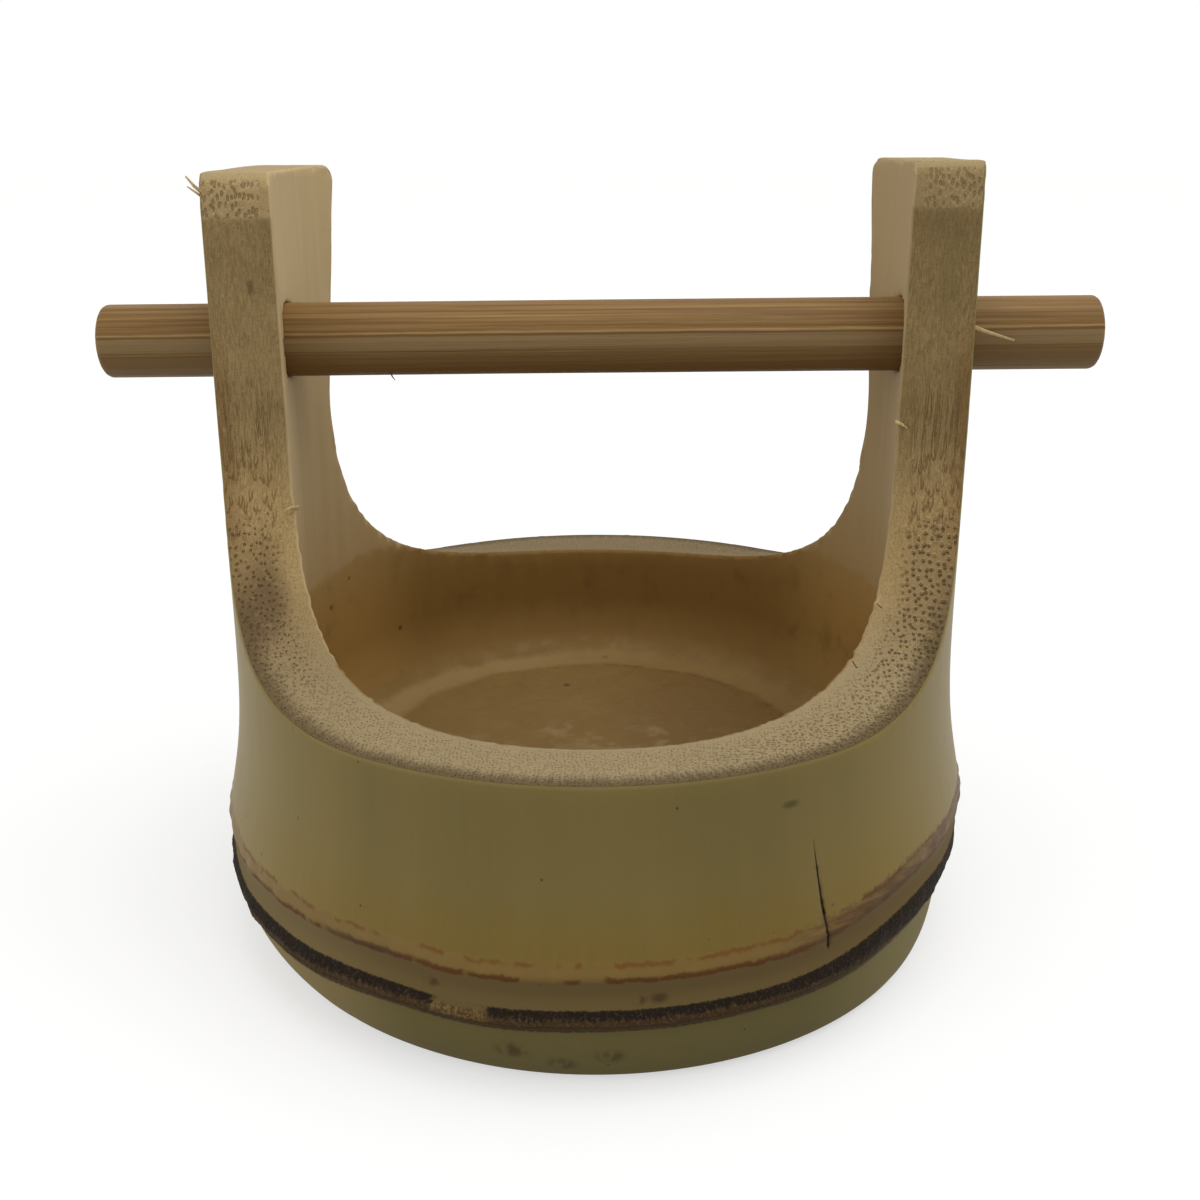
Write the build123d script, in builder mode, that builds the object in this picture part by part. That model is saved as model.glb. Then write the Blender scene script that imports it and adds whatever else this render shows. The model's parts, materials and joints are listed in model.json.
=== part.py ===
from build123d import *
import os

# A small bamboo bucket. One length of culm is the whole vessel: its wall, the node with its ridge and
# sheath scar, the natural septum that closes it as a floor, and two ears left standing by a saddle cut
# at the front and the back. A plain bamboo dowel runs through a hole in each ear as the handle.
# Millimetres, +Z up, +X along the handle, origin at the middle of the cut foot.

# The culm
culm_diameter = 82.0
wall_thickness = 7.5
cup_height = 84.5

# The foot and the sheath scar, a raised ring of torn fibre with bevelled edges
foot_draw_in = 1.2
foot_bulge = 0.9
foot_wall = 7.2
scar_height = 7.6
scar_width = 2.0
scar_proud = 0.5
scar_bevel = 0.6

# The node ridge above the scar, and the length of wall over which it fades out
ridge_above_scar = 4.4
ridge_proud_of_scar = 0.5
node_swell = 2.6
ridge_fade = 16.0

# The septum
floor_above_ridge = 3.6
floor_corner = 8.0
septum_thickness = 5.0
recess_corner = 5.0

# The saddle cut that leaves the ears; each ear widens towards the top on its back side only
rim_height = 32.0
saddle_radius = 25.0
ear_front = 9.4
ear_back = 8.8
left_ear_flare = 5.3
right_ear_flare = 2.3
ear_corner = 2.0
bevel_height = 4.2
bevel_depth = 1.2

# The handle rod, and its two holes, measured down from the ear tops
rod_diameter = 8.0
rod_overhang = 13.5
rod_end_bevel = 0.6
left_hole_drop = 18.2
right_hole_drop = 17.6
hole_clearance = 0.08

# Radii and heights that follow from them
culm_radius = culm_diameter / 2
inner_radius = culm_radius - wall_thickness
foot_radius = culm_radius - foot_draw_in
recess_radius = foot_radius - foot_wall
node_radius = culm_radius + node_swell
scar_radius = node_radius - ridge_proud_of_scar
scar_top = scar_height + scar_width
ridge_height = scar_top + ridge_above_scar
wall_start = ridge_height + ridge_fade
floor_height = ridge_height + floor_above_ridge
recess_ceiling = floor_height - septum_thickness
hole_radius = rod_diameter / 2 + hole_clearance
rod_length = culm_diameter + 2 * rod_overhang

# The rod's axis passes through both hole centres, half way through the wall
hole_span = culm_diameter - wall_thickness
rod_middle = cup_height - (left_hole_drop + right_hole_drop) / 2
rod_rise = left_hole_drop - right_hole_drop
rod_plane = Plane(origin=(0, 0, rod_middle), x_dir=(0, 1, 0), z_dir=(hole_span, 0, rod_rise))

# Each cut runs this far past the culm
cut_reach = culm_diameter


with BuildPart() as bamboo_cup:
    # Half section of the grown tube, turned about its axis
    with BuildSketch(Plane.XZ):
        with BuildLine():
            # Outside: foot, scar ring, dip, ridge, and the ridge fading into the straight wall
            SagittaArc((foot_radius, 0), (scar_radius, scar_height), -foot_bulge)
            Polyline(
                (scar_radius, scar_height),
                (scar_radius + scar_proud, scar_height + scar_bevel),
                (scar_radius + scar_proud, scar_top - scar_bevel),
                (scar_radius, scar_top),
            )
            Bezier(
                (scar_radius, scar_top),
                (node_radius, (scar_top + ridge_height) / 2),
                (node_radius, ridge_height),
            )
            Bezier(
                (node_radius, ridge_height),
                (node_radius, ridge_height + ridge_fade / 2),
                (culm_radius, ridge_height + ridge_fade / 2),
                (culm_radius, wall_start),
            )
            Line((culm_radius, wall_start), (culm_radius, cup_height))
            # Inside: top end, wall, rounded corner and floor
            Line((culm_radius, cup_height), (inner_radius, cup_height))
            Line((inner_radius, cup_height), (inner_radius, floor_height + floor_corner))
            RadiusArc(
                (inner_radius, floor_height + floor_corner),
                (inner_radius - floor_corner, floor_height),
                floor_corner,
            )
            Line((inner_radius - floor_corner, floor_height), (0, floor_height))
            # Underside: septum, its splayed corner, and the hollow of the foot
            Polyline(
                (0, floor_height),
                (0, recess_ceiling),
                (recess_radius - recess_corner, recess_ceiling),
                (recess_radius, recess_ceiling - recess_corner),
                (recess_radius, 0),
                (foot_radius, 0),
            )
        make_face()
    revolve(axis=Axis.Z)

    # Front cut: a short bevel at the ear tops, upright ear sides, and the sweep down to the rim
    with BuildSketch(Plane.YZ) as front_cut:
        with BuildLine():
            Polyline(
                (-cut_reach, rim_height),
                (-ear_front, rim_height),
                (-ear_front, cup_height - bevel_height),
                (-ear_front + bevel_depth, cup_height),
                (-ear_front + bevel_depth, cup_height + bevel_height),
                (-cut_reach, cup_height + bevel_height),
                close=True,
            )
        make_face()
        fillet(front_cut.vertices().group_by(Axis.Y)[0].sort_by(Axis.X)[-1], radius=saddle_radius)
    extrude(amount=cut_reach, both=True, mode=Mode.SUBTRACT)

    # Back cut, one half for each ear
    for side, flare in ((-1, left_ear_flare), (1, right_ear_flare)):
        with BuildSketch(Plane.YZ) as back_cut:
            with BuildLine():
                Polyline(
                    (cut_reach, rim_height),
                    (ear_back, rim_height),
                    (ear_back + flare, cup_height),
                    (ear_back + flare, cup_height + bevel_height),
                    (cut_reach, cup_height + bevel_height),
                    close=True,
                )
            make_face()
            fillet(back_cut.vertices().group_by(Axis.Y)[0].sort_by(Axis.X)[0], radius=saddle_radius)
        extrude(amount=side * cut_reach, mode=Mode.SUBTRACT)

    # Back corners of the ear tops, worn round
    top_edges = bamboo_cup.edges().group_by(Axis.Z)[-1].filter_by(Axis.X)
    fillet(top_edges.filter_by(lambda edge: edge.center().Y > 0), radius=ear_corner)

    # One straight drilling through both ears
    with Locations(rod_plane):
        Hole(radius=hole_radius)


with BuildPart() as handle_rod:
    with BuildSketch(rod_plane):
        Circle(rod_diameter / 2)
    extrude(amount=rod_length / 2, both=True)
    chamfer(handle_rod.edges().filter_by(GeomType.CIRCLE), length=rod_end_bevel)


os.makedirs("parts", exist_ok=True)
bamboo_cup.part.label = "bamboo_cup"
export_step(bamboo_cup.part, "parts/bamboo_cup.step")
handle_rod.part.label = "handle_rod"
export_step(handle_rod.part, "parts/handle_rod.step")
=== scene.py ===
"""A small bamboo bucket: a length of culm cut to leave two ears, and a dowel through both as its handle."""

import itertools
import json
import math

import bmesh
import bpy
import numpy as np
from mathutils import Matrix, Vector


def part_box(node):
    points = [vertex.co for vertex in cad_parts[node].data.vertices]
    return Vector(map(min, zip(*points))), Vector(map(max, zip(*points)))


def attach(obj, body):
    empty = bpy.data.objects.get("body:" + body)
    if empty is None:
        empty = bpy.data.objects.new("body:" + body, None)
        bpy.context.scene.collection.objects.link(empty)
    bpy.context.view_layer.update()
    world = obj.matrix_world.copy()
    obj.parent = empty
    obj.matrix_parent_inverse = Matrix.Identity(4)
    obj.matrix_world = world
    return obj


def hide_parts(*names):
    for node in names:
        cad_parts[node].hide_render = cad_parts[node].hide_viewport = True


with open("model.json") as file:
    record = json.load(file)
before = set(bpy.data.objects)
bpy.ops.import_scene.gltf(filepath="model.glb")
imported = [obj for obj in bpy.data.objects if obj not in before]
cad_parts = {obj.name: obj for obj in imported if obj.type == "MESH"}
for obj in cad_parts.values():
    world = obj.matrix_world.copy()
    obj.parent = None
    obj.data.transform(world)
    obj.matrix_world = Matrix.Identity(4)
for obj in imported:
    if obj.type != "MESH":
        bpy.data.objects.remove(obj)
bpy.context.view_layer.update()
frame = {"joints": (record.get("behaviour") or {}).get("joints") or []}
scene = bpy.context.scene

# Sizes are in millimetres and turn into metres when a mesh is made
MM = 0.001
cup_low, cup_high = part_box("bamboo_cup")
rod_low, rod_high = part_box("handle_rod")
rod_joint = frame["joints"][0]
cup_height = (cup_high.z - cup_low.z) / MM
rod_length = (rod_high.x - rod_low.x) / MM
rod_radius = (rod_high.y - rod_low.y) / MM / 2
rod_middle = Vector(rod_joint["pos_m"]) / MM
rod_axis = Vector(rod_joint["axis"])
backward = Vector((0.0, 1.0, 0.0))

# The culm, a little oval as grown
culm_radius = 41.3
culm_oval = 0.3
inner_radius = 33.5
inner_oval = 0.22

# The radius that arcs on the skin are measured at
arc_radius = 43.0

# The node: a ridge above, a shallow groove, then the flared ledge that the sheath was torn from
ridge_height = 13.4
node_swell = 2.45
swell_fade = 7.9
groove_height = 11.0
groove_depth = 0.45
scar_top = 9.75
scar_width = 1.6
left_wider = 0.7
right_wider = 1.6
ledge_proud = 0.55
right_rise = 3.2
left_rise = 1.3

# The foot under the node, drawn in towards the cut end and grown a little to the left
foot_draw = 2.6
foot_uneven = 0.4
foot_lean = -2.8
foot_height = 8.0
foot_set_back = 0.55
foot_shift = 0.4
foot_round = 0.9

# The septum that is the floor, and the hollow under it
floor_height = 17.3
floor_dish = 0.9
floor_corner = 7.0
recess_radius = 32.6
recess_ceiling = 12.6
recess_corner = 5.0

# The saddle cuts and the ears that they leave
rim_height = 32.0
front_saddle = 25.0
left_saddle = 28.7
right_saddle = 27.6
ear_front = 9.4
left_back = 11.0
left_flare = 0.131
right_back = 9.1
right_flare = 0.082
flare_start = 57.0
ear_corner = 2.0
left_top = -0.3
right_top = 0.75
left_tilt = 0.016
top_chamfer = 1.2
left_bevel = 4.7
right_bevel = 3.8
bevel_depth = 1.1
hole_radius = rod_radius + 0.12

# How much the edges of the cuts are broken
cut_edge = 0.35

# Grid lines outward and upward, as stretches of start, end and step, those round, and a step each way
radius_lines = ((0.0, 27.65, 2.765), (27.65, 40.25, 0.9), (40.25, 47.0, 0.97))
height_lines = ((-1.5, 5.5, 1.0), (5.5, 16.0, 0.6), (16.0, 88.0, 1.1))
turn_count = 260
grid_step = np.eye(3, dtype=int)

# Where faces are halved in turn: how near an edge, between which levels of the node, how near the crack
finer = ((1.0, (6.4, 15.2), 1.2), (0.5, (6.8, 10.2), 0.8), (0.0, (0.0, 0.0), 0.4))

# A corner with a higher mark than this stands on an edge of the cup
edge_mark = 0.9

# How far from the axis corners are thinned, and the gap that they keep
axis_reach = 24.0
axis_gap = 0.55

# A drying crack on the front right: its ends, and its bend to the right as how far, where and how long
crack_top = np.array((21.4, -36.7, 24.4))
crack_foot = np.array((23.4, -35.5, 11.6))
crack_width = 0.15
crack_depth = 0.45
crack_bend = (0.2, 0.82, 0.2)

# Chips broken out of the inner edge of the cuts, each as its middle and its radius
chips = (((26.9, -20.2, 36.7), 0.5), ((29.9, -15.3, 41.6), 0.8))

# Short cracks that run out from the inner edge of the right cut, each as its start and end
edge_cracks = (((26.85, -20.2, 36.42), (27.4, -21.4, 35.65)), ((29.9, -15.3, 40.87), (30.7, -15.8, 40.3)))


def smooth(low, high, x):
    """Rises from 0 at low to 1 at high."""
    share = np.clip((x - low) / (high - low), 0.0, 1.0)
    return share * share * (3.0 - 2.0 * share)


def bump(middle, width, x):
    """A bell of height 1."""
    return np.exp(-(((x - middle) / width) ** 2))


def meet(a, b, rounding):
    """The distance to what lies in both shapes, with the edge between them rounded."""
    inside = np.minimum(-rounding, np.maximum(a, b))
    return inside + np.hypot(np.maximum(a + rounding, 0.0), np.maximum(b + rounding, 0.0))


def ripple(angle, counts, seed):
    """A wavy line round the culm, from -1 to 1, as a sum of waves that close on themselves."""
    phases = np.random.default_rng(seed).uniform(0.0, math.tau, len(counts))
    waves = [np.sin(count * angle + phase) for count, phase in zip(counts, phases)]
    return sum(waves) / len(counts)


def node_level(angle, z):
    """Height along the node, which climbs at both sides of the culm, more so on the right."""
    side = np.cos(angle)
    rise = right_rise * smooth(0.375, 0.906, side) + left_rise * smooth(0.85, 1.0, -side)
    rise = rise + 0.25 * ripple(angle, (5, 9, 14), 3)
    return z - rise * smooth(1.0, 9.0, z)


def scar_level(angle, z):
    """Height along the node, drawn out below the scar's upper edge where the scar is wider, at both sides."""
    level = node_level(angle, z)
    side = np.cos(angle)
    wider = right_wider * smooth(0.36, 0.9, side) + left_wider * smooth(0.35, 0.8, -side)
    return np.where(level < scar_top, scar_top - (scar_top - level) / (1.0 + wider / scar_width), level)


def skin_radius(angle, z):
    """Radius of the culm's skin."""
    level = node_level(angle, z)
    oval = -culm_oval * np.cos(2 * angle)
    wave = 0.07 * ripple(angle + 0.002 * z, (3, 5, 7), 1) - 0.25 * smooth(55.0, 84.0, z)
    swell = node_swell * np.exp(-((np.maximum(level - ridge_height, 0.0) / swell_fade) ** 1.4))
    swell = swell * (1.0 - 0.1 * np.cos(angle) ** 2)
    crest = 0.22 * bump(ridge_height, 0.8, level) * (1.0 + 0.5 * ripple(angle, (41, 67, 83), 4))
    groove = -groove_depth * bump(groove_height, 1.3, level)
    comb = 1.0 + 0.22 * ripple(angle, (307, 373, 431, 509), 5) + 0.25 * ripple(angle, (23, 37, 59), 6)
    scar = scar_level(angle, z)
    scar_foot = scar_top - scar_width
    ledge = smooth(scar_top + 0.1, scar_foot + 0.6, scar) * smooth(scar_foot - 0.7, scar_foot, scar)
    ledge = ledge_proud * ledge * comb
    set_back = -foot_set_back * (1.0 + 0.6 * np.cos(2 * angle)) * smooth(10.0, 7.0, level)
    drawn_in = -foot_draw * np.maximum(1.0 - level / foot_height, 0.0) ** 1.9
    drawn_in = drawn_in * (1.0 + foot_uneven * np.cos(angle - foot_lean))
    return culm_radius + oval + wave + swell + crest + groove + ledge + set_back + drawn_in


def crack_share(z):
    """The share of the way down the crack at a height, which may lie past either end."""
    return (crack_top[2] - z) / (crack_top[2] - crack_foot[2])


def crack_middle(share):
    """How far to the right the crack runs, by its share of the way down."""
    aside, where, reach = crack_bend
    return crack_top[0] + share * (crack_foot[0] - crack_top[0]) + aside * bump(where, reach, share)


def crack_groove(x, y, z):
    """Depth of the drying crack at a point on the skin, fine at its upper end."""
    share = np.clip(crack_share(z), 0.0, 1.0)
    width = crack_width * (0.45 + 0.55 * smooth(0.1, 0.6, share))
    taper = smooth(0.0, 0.25, share) * smooth(1.0, 0.93, share)
    front = np.where(y < 0.0, 1.0, 0.0)
    return crack_depth * taper * front * bump(crack_middle(share), width, x)


def skin_gap(x, y, z):
    """Distance out from the culm's skin, below zero in the wall."""
    shifted = x + foot_shift * (1.0 - smooth(6.0, 13.0, z))
    angle = np.arctan2(y, shifted)
    return np.hypot(shifted, y) - skin_radius(angle, z) + crack_groove(x, y, z)


def cavity_gap(x, y, z):
    """Distance out from the inside of the cup, below zero in the hollow."""
    angle = np.arctan2(y, x)
    radius = np.hypot(x, y)
    wall = inner_radius + inner_oval * np.cos(2 * angle) + 0.06 * ripple(angle, (4, 7, 11, 17), 8)
    frayed = 0.13 * ripple(angle, (61, 97, 131, 173, 211), 9) * smooth(29.0, 32.5, z)
    floor = floor_height + floor_dish * (radius / inner_radius) ** 2
    floor = floor + 0.12 * np.sin(0.35 * x + 1.0) * np.sin(0.3 * y + 0.4)
    gap = meet(radius - wall - frayed, floor - z, floor_corner)
    for middle, size in chips:
        gap = np.minimum(gap, np.linalg.norm(np.stack((x, y, z), -1) - middle, axis=-1) - size)
    return gap


def recess_gap(x, y, z):
    """Distance out from the hollow under the septum."""
    return meet(np.hypot(x + foot_shift, y) - recess_radius, z - recess_ceiling, recess_corner)


def front_gap(x, y, z):
    """Distance out from what the front cut takes away, with the bevels at the top of the ears."""
    leftward = x < 0.0
    bevel = np.where(leftward, left_bevel, right_bevel)
    bevel_share = np.clip((z - (cup_height - bevel)) / bevel, 0.0, 1.0)
    crown = cup_height + np.where(leftward, left_top, right_top)
    chamfer_share = np.clip((z - crown) / top_chamfer + 1.0, 0.0, 1.5)
    side = y + ear_front - bevel_depth * bevel_share - top_chamfer * chamfer_share
    saw = 0.06 * np.sin(0.9 * z + 0.3 * x) * smooth(40.0, 60.0, z)
    return meet(side + saw, rim_height - z, front_saddle)


def back_gap(x, y, z):
    """Distance out from what the back cut takes away, wider on the left."""
    rightward = smooth(-20.0, 20.0, x)
    left = left_back + left_flare * (z - flare_start)
    right = right_back + right_flare * (z - flare_start)
    side = left + (right - left) * rightward - y
    return meet(side, rim_height - z, left_saddle + (right_saddle - left_saddle) * rightward)


def top_gap(x, y, z):
    """Distance above the ear tops. The right one stands higher, and the left one rises to the back."""
    top = np.where(x < 0.0, left_top + left_tilt * (y + ear_front), right_top)
    return z - cup_height - top + 0.05 * np.sin(0.4 * y + 0.5)


def hole_gap(x, y, z):
    """Distance out from the bore for the rod."""
    offset_y = y - rod_middle.y
    offset_z = (z - rod_middle.z) - (x - rod_middle.x) * rod_axis.z / rod_axis.x
    return np.hypot(offset_y, offset_z) - hole_radius


def cup_faces(x, y, z):
    """Distances out from each face of the cup in turn, all below zero inside the bamboo."""
    hull = meet(skin_gap(x, y, z), -z, foot_round)
    ears = meet(-back_gap(x, y, z), top_gap(x, y, z), ear_corner)
    hollows = (recess_gap(x, y, z), cavity_gap(x, y, z), front_gap(x, y, z), hole_gap(x, y, z))
    return np.stack((hull, ears) + tuple(-hollow for hollow in hollows))


def cup_gap(x, y, z):
    """Distance out from the cup, below zero in the bamboo."""
    faces = cup_faces(x, y, z)
    solid = faces[0]
    for face in faces[1:]:
        solid = meet(solid, face, cut_edge)
    return solid


def edge_gap(x, y, z):
    """How far a point of the surface lies from the nearest edge between two of the cup's faces."""
    return -np.sort(cup_faces(x, y, z), axis=0)[-2]


def block(start, cells):
    """The points of the grid at one corner of each cell."""
    return tuple(slice(offset, offset + count) for offset, count in zip(start, cells))


def surface_net(radii, turns, heights):
    """Corners and four-sided faces of the cup on a grid of radius, turn and height, and which corners
    stand for a cell that an edge between two faces runs through."""
    r, turn, z = np.meshgrid(radii, turns, heights, indexing="ij")
    value = cup_gap(r * np.cos(turn), r * np.sin(turn), z)
    grid = np.stack((r, turn, z), axis=-1)
    value = np.concatenate((value, value[:, :1]), axis=1)
    closing = grid[:, :1] + np.array((0.0, math.tau, 0.0))
    grid = np.concatenate((grid, closing), axis=1)
    inside = value < 0.0
    cells = tuple(n - 1 for n in value.shape)
    total = np.zeros(cells + (3,))
    count = np.zeros(cells)
    lowest = np.full(cells, 99)
    highest = np.full(cells, -1)
    for axis in range(3):
        for start in itertools.product(*[(0,) if k == axis else (0, 1) for k in range(3)]):
            first = block(start, cells)
            second = block(grid_step[axis] + start, cells)
            a, b = value[first], value[second]
            crossed = inside[first] != inside[second]
            share = np.where(crossed, a / np.where(crossed, a - b, 1.0), 0.0)[..., None]
            point = grid[first] * (1.0 - share) + grid[second] * share
            total += np.where(crossed[..., None], point, 0.0)
            count += crossed
            r, turn, z = point[crossed].T
            face = np.argmax(cup_faces(r * np.cos(turn), r * np.sin(turn), z), axis=0)
            lowest[crossed] = np.minimum(lowest[crossed], face)
            highest[crossed] = np.maximum(highest[crossed], face)
    active = count > 0
    number = np.full(cells, -1)
    number[active] = np.arange(active.sum())
    r, turn, z = (total[active] / count[active][:, None]).T
    points = np.stack((r * np.cos(turn), r * np.sin(turn), z), axis=1)
    return points, net_faces(inside, number, cells), (lowest < highest)[active]


def net_faces(inside, number, cells):
    """One face for each grid line that passes through the surface, through the four cells about it."""
    quads = []
    for axis in range(3):
        others = [k for k in range(3) if k != axis]
        outward = inside[block((0, 0, 0), cells)]
        found = np.argwhere(outward != inside[block(grid_step[axis], cells)])
        found = found[np.all([(found[:, k] > 0) | (k == 1) for k in others], axis=0)]
        ring = []
        for offset in ((0, 0), (1, 0), (1, 1), (0, 1)):
            cell = found.copy()
            cell[:, others] -= offset
            cell[:, 1] %= cells[1]
            ring.append(number[tuple(cell.T)])
        quad = np.stack(ring, axis=1)
        turned = outward[tuple(found.T)] ^ (axis == 1)
        quad[turned] = quad[turned][:, ::-1]
        quads.append(quad)
    return np.concatenate(quads)


def slopes(field, points):
    """How a field, or several at once, changes along each axis."""
    reach = 0.03
    changes = []
    for axis in range(3):
        offset = np.zeros(3)
        offset[axis] = reach
        changes.append((field(*(points + offset).T) - field(*(points - offset).T)) / (2 * reach))
    return np.stack(changes, axis=-1)


def to_surface(points, steps=2):
    """Moves points on to the cup's surface."""
    for _ in range(steps):
        slope = slopes(cup_gap, points)
        steep = np.maximum((slope**2).sum(axis=1), 0.25)
        move = slope * (cup_gap(*points.T) / steep)[:, None]
        points = points - np.clip(move, -0.6, 0.6)
    return points


def to_edges(points, steps=3):
    """Moves points to the middle of the rounding between the two faces nearest to them."""
    inset = cut_edge * (1.0 - math.sqrt(0.5))
    for _ in range(steps):
        gaps = cup_faces(*points.T)
        pair = np.argsort(-gaps, axis=0)[:2]
        error = np.take_along_axis(gaps, pair, axis=0).T + inset
        slope = np.take_along_axis(slopes(cup_faces, points), pair[..., None], axis=0).transpose(1, 0, 2)
        normal = slope @ slope.transpose(0, 2, 1) + 0.01 * np.eye(2)
        move = np.einsum("nij,ni->nj", slope, np.linalg.solve(normal, error[..., None])[..., 0])
        points = points - np.clip(move, -0.5, 0.5)
    return points


def relaxed(points, edges):
    """Each point moved half way to the mean of its neighbours."""
    total = np.zeros_like(points)
    count = np.zeros(len(points))
    for near, far in ((0, 1), (1, 0)):
        np.add.at(total, edges[:, near], points[edges[:, far]])
        np.add.at(count, edges[:, near], 1)
    moved = 0.5 * points + 0.5 * total / np.maximum(count, 1)[:, None]
    return np.where(count[:, None] > 0, moved, points)


def corners(work):
    """The corners of an editable mesh."""
    return np.array([corner.co for corner in work.verts])


def settle(work, rounds):
    """Evens out the corners of the cup and puts them back on its surface, those of its edges on the edges."""
    mark = work.verts.layers.float["on_edge"]
    work.verts.index_update()
    on_edge = np.array([corner[mark] for corner in work.verts]) > edge_mark
    links = np.array([[corner.index for corner in edge.verts] for edge in work.edges])
    along = links[on_edge[links].all(axis=1)]
    points = corners(work)
    for _ in range(rounds):
        evened = relaxed(points, links)
        evened[on_edge] = relaxed(points, along)[on_edge]
        evened[on_edge] = to_edges(evened[on_edge])
        points = to_surface(evened)
    for corner, point in zip(work.verts, points):
        corner.co = point


def refine(work, chosen):
    """Cuts in two each edge whose ends are both chosen, and puts the new corners on the cup."""
    work.verts.index_update()
    edges = [edge for edge in work.edges if chosen[edge.verts[0].index] and chosen[edge.verts[1].index]]
    bmesh.ops.subdivide_edges(work, edges=edges, cuts=1, use_grid_fill=True, use_single_edge=True)
    settle(work, 1)


def spaced(*stretches):
    """Grid lines over several stretches, each given as its start, end and step."""
    lines = [np.arange(start, end - 1e-6, step) for start, end, step in stretches]
    return np.concatenate(lines + [[stretches[-1][1]]])


def tidy_edges(work, mark):
    """Closes the faces that lie flat along an edge of the cup, and splits those that an edge bends round."""
    rungs = set()
    for face in work.faces:
        if all(corner[mark] > edge_mark for corner in face.verts):
            pairs = (face.edges[0], face.edges[2]), (face.edges[1], face.edges[3])
            rungs.update(min(pairs, key=lambda pair: sum(edge.calc_length() for edge in pair)))
    bmesh.ops.collapse(work, edges=list(rungs))
    for face in list(work.faces):
        ring = list(face.verts)
        loose = [k for k, corner in enumerate(ring) if corner[mark] < edge_mark]
        if len(ring) == 4 and len(loose) == 1:
            bmesh.utils.face_split(face, ring[loose[0]], ring[(loose[0] + 2) % 4])


def make_cup():
    """The culm as one closed mesh, with finer faces along its edges, its node and its crack."""
    radii = spaced(*radius_lines)
    turns = (np.arange(turn_count) - 0.01) * math.tau / turn_count
    heights = spaced(*height_lines)
    points, faces, on_edge = surface_net(radii, turns, heights)
    points[on_edge] = to_surface(to_edges(points[on_edge]))
    work = bmesh.new()
    mark = work.verts.layers.float.new("on_edge")
    made = [work.verts.new(point) for point in points]
    for corner, marked in zip(made, on_edge):
        corner[mark] = float(marked)
    for face in faces:
        work.faces.new([made[k] for k in face])
    tidy_edges(work, mark)
    close_middle(work)
    settle(work, 3)
    for nearness, node_band, crack_reach in finer:
        at = corners(work)
        level = node_level(np.arctan2(at[:, 1], at[:, 0]), at[:, 2])
        on_skin = np.abs(skin_gap(*at.T)) < 0.2
        chosen = edge_gap(*at.T) < nearness
        chosen |= on_skin & (level > node_band[0]) & (level < node_band[1])
        chosen |= on_skin & (crack_distance(at) < crack_reach)
        refine(work, chosen)
    settle(work, 2)
    points = corners(work)
    cup = finish_mesh(work, "culm_cup")
    x, y, z = points.T
    store(cup, "skin_depth", -skin_gap(x, y, z))
    store(cup, "cavity_depth", cavity_gap(x, y, z))
    store(cup, "recess_depth", recess_gap(x, y, z))
    store(cup, "node_level", node_level(np.arctan2(y, x), z))
    store(cup, "scar_level", scar_level(np.arctan2(y, x), z))
    return cup


def crack_distance(points):
    """How far points of the front lie from the line of the crack, across and up."""
    x, y, z = points.T
    share = np.clip(crack_share(z), 0.0, 1.0)
    beyond = np.maximum(np.maximum(z - crack_top[2], crack_foot[2] - z), 0.0)
    return np.where(y < 0.0, np.hypot(x - crack_middle(share), beyond), 99.0)


def close_middle(work):
    """Thins the crowded corners near the axis and closes the small ring left open there."""
    near_axis = [corner for corner in work.verts if math.hypot(corner.co.x, corner.co.y) < axis_reach]
    bmesh.ops.remove_doubles(work, verts=near_axis, dist=axis_gap)
    bmesh.ops.holes_fill(work, edges=[edge for edge in work.edges if edge.is_boundary], sides=0)
    bmesh.ops.recalc_face_normals(work, faces=work.faces)


def finish_mesh(work, name):
    """An object from an editable mesh in millimetres, with smooth faces turned outward."""
    bmesh.ops.recalc_face_normals(work, faces=work.faces)
    for corner in work.verts:
        corner.co *= MM
    mesh = bpy.data.meshes.new(name)
    work.to_mesh(mesh)
    work.free()
    mesh.shade_smooth()
    return add(name, mesh)


def add(name, data):
    """A new object in the scene."""
    made = bpy.data.objects.new(name, data)
    scene.collection.objects.link(made)
    return made


def store(piece, name, values):
    """Keeps one number for each corner of a mesh, for its material to read."""
    layer = piece.data.attributes.new(name, "FLOAT", "POINT")
    layer.data.foreach_set("value", np.asarray(values, np.float32))


# The rod: the rounding of its ends, how much longer it is than the CAD's and its shift to the right
rod_end_round = 0.7
rod_extra = 0.5
rod_shift = 0.6

# Corners round the rod, and rings along it
rod_sides = 128
rod_rings = 90


def join_rings(work, rings):
    """Faces between rings of corners, from each ring to the next."""
    for first, second in zip(rings, rings[1:]):
        for k in range(len(first)):
            work.faces.new((first[k], first[k - 1], second[k - 1], second[k]))


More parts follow.
